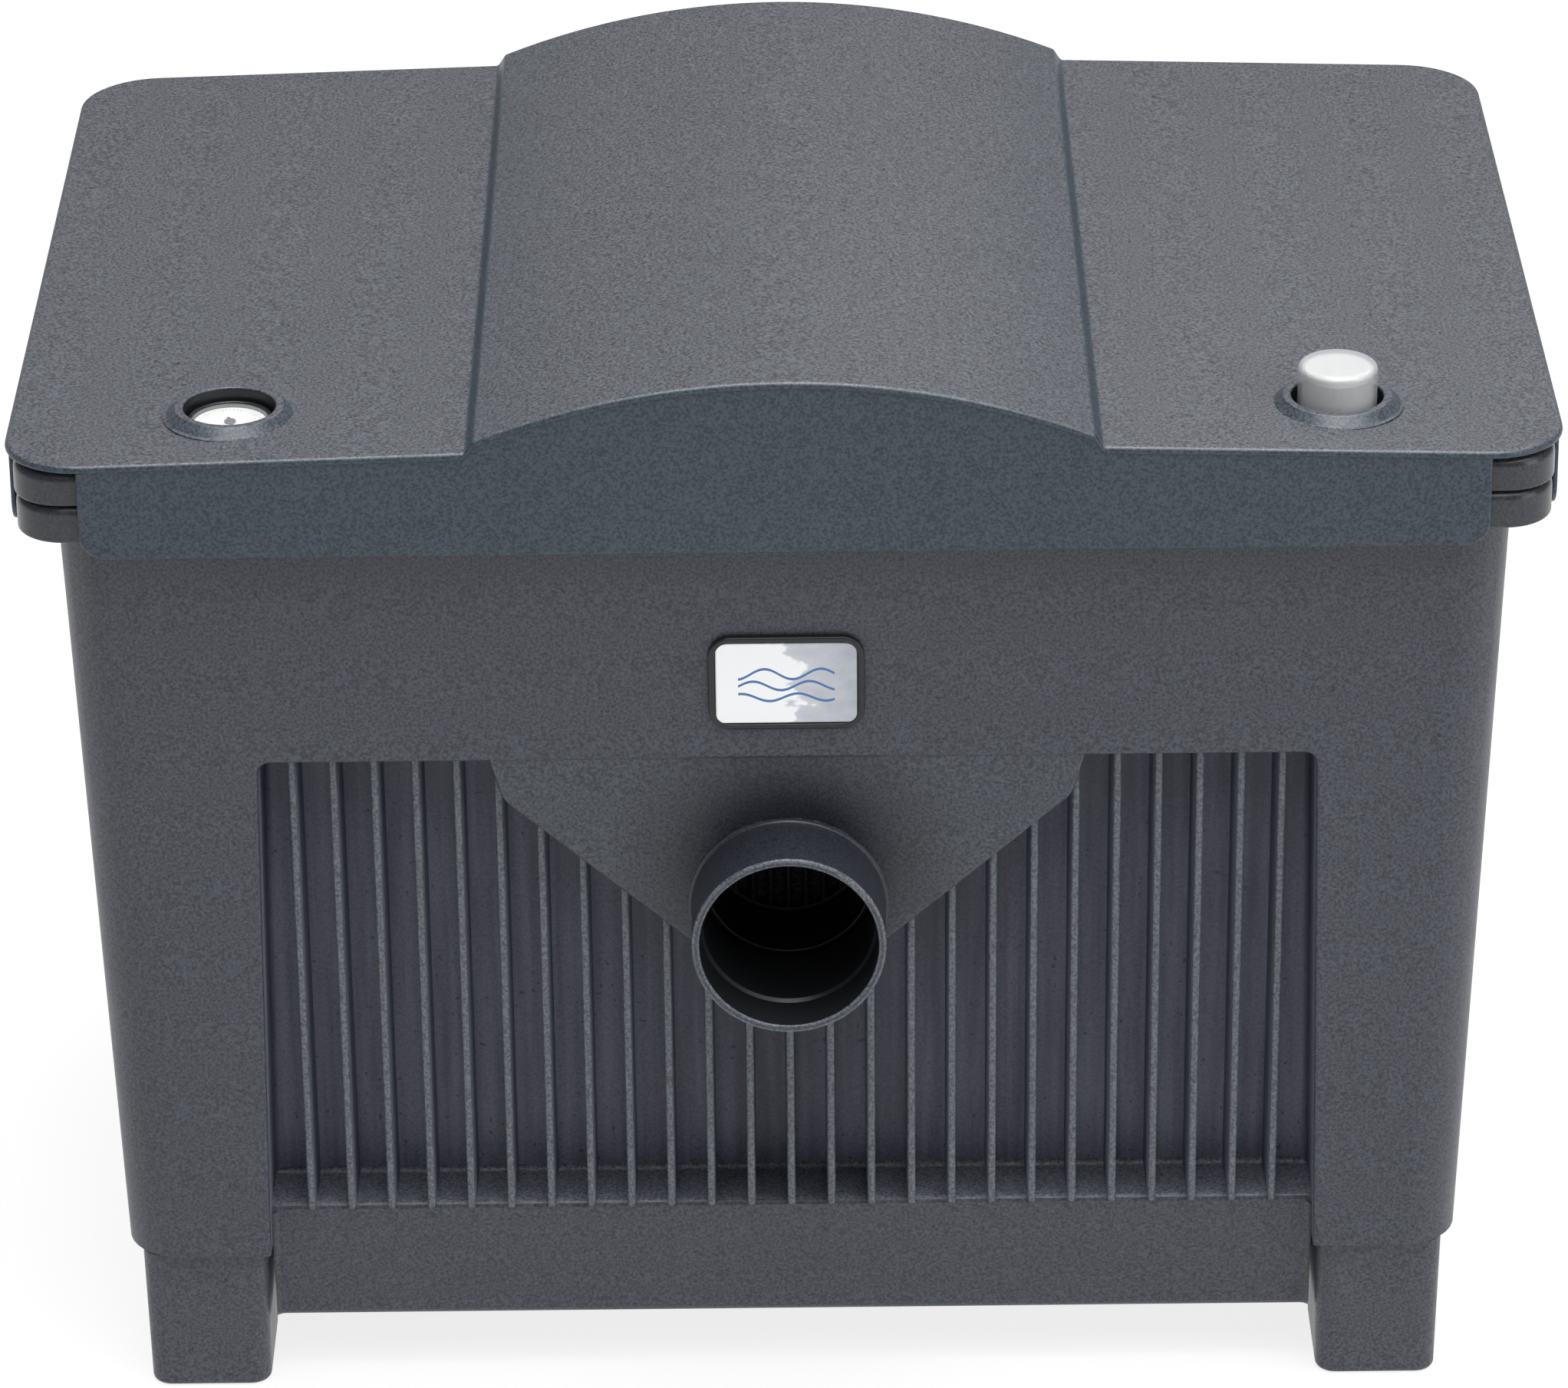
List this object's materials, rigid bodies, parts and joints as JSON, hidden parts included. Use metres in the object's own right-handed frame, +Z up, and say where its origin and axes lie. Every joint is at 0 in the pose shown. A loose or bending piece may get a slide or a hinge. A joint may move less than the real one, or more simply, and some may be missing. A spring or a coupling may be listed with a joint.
{
  "type": "pond filter",
  "caption": "Box-type garden pond filter: ribbed tapered tub on feet, lift-out tray and arched lift-off lid, pipe outlet in front, hose tail and sludge drain behind.",
  "frame": {"origin": "centre of the overall box at the ground under the feet", "axes": "+X to the right seen from the outlet side, +Y to the back (hose tail), +Z up"},
  "size_m": [0.59, 0.4908, 0.4538],
  "materials": {
    "tub_slate": "fine moulded grain, satin",
    "lid_slate": "fine moulded grain, satin",
    "tray_slate": "smoother satin",
    "black_fitting": "satin",
    "seal_rubber": "matt",
    "dial_white": "smooth",
    "badge_blue": null,
    "coarse_foam": "open-cell foam",
    "fine_foam": "open-cell foam",
    "steel": "brushed",
    "clear_plastic": "clear",
    "float_orange": "smooth"
  },
  "bodies": {
    "container": {"tub_floor": "tub_slate", "tub_rim": "tub_slate", "tub_wall_front": "tub_slate", "tub_wall_back": "tub_slate", "tub_wall_left": "tub_slate", "tub_wall_right": "tub_slate", "tub_leg_front_left": "tub_slate", "tub_leg_front_right": "tub_slate", "tub_leg_back_left": "tub_slate", "tub_leg_back_right": "tub_slate", "outlet_spigot": "tub_slate", "foot_front_left": "tub_slate", "foot_front_right": "tub_slate", "foot_back_left": "tub_slate", "foot_back_right": "tub_slate", "badge_frame": "black_fitting", "badge_plate": "badge_blue", "outlet_strainer": "black_fitting", "strainer_grille": "black_fitting", "base_grid": "black_fitting", "grid_leg_1": "black_fitting", "grid_leg_2": "black_fitting", "grid_leg_3": "black_fitting", "grid_leg_4": "black_fitting", "coarse_foam_1": "coarse_foam", "fine_foam_1": "fine_foam", "coarse_foam_2": "coarse_foam", "fine_foam_2": "fine_foam", "coarse_foam_3": "coarse_foam", "inlet_stub": "black_fitting", "inlet_gasket": "seal_rubber", "inlet_locknut": "black_fitting", "inlet_hose_tail": "black_fitting", "drain_spigot": "black_fitting", "drain_gasket": "seal_rubber", "drain_locknut": "black_fitting", "drain_cap_seal": "seal_rubber"},
    "tray": {"tray": "tray_slate", "thermometer_housing": "black_fitting", "thermometer_dial": "dial_white", "thermometer_lens": "clear_plastic", "thermometer_probe": "steel", "sight_cap": "clear_plastic"},
    "lid": {"lid": "lid_slate"},
    "thermometer_needle": {"thermometer_needle": "black_fitting"},
    "level_indicator": {"indicator_flag": "dial_white", "indicator_rod": "steel", "indicator_float": "float_orange"},
    "union_nut": {"inlet_union_nut": "black_fitting"},
    "drain_cap": {"drain_cap": "black_fitting"}
  },
  "joints": [
    {"name": "tray_lift", "type": "slide", "parent": "container", "child": "tray", "axis": [0, 0, 1], "range_m": [0, 0.12]},
    {"name": "lid_lift", "type": "slide", "parent": "tray", "child": "lid", "axis": [0, 0, 1], "range_m": [0, 0.12]},
    {"name": "needle_turn", "type": "hinge", "parent": "tray", "child": "thermometer_needle", "pos_m": [-0.2105, -0.19015, 0.4192], "axis": [0, 0, 1], "range_deg": [-150, 120]},
    {"name": "indicator_travel", "type": "slide", "parent": "tray", "child": "level_indicator", "axis": [0, 0, 1], "range_m": [-0.012, 0]},
    {"name": "union_nut_turn", "type": "hinge", "parent": "container", "child": "union_nut", "pos_m": [0, 0.17835, 0.338], "axis": [0, 1, 0], "range_deg": [0, 540]},
    {"name": "drain_cap_turn", "type": "hinge", "parent": "container", "child": "drain_cap", "pos_m": [0, 0.16, 0.053], "axis": [0, 1, 0], "range_deg": [0, 540]}
  ]
}
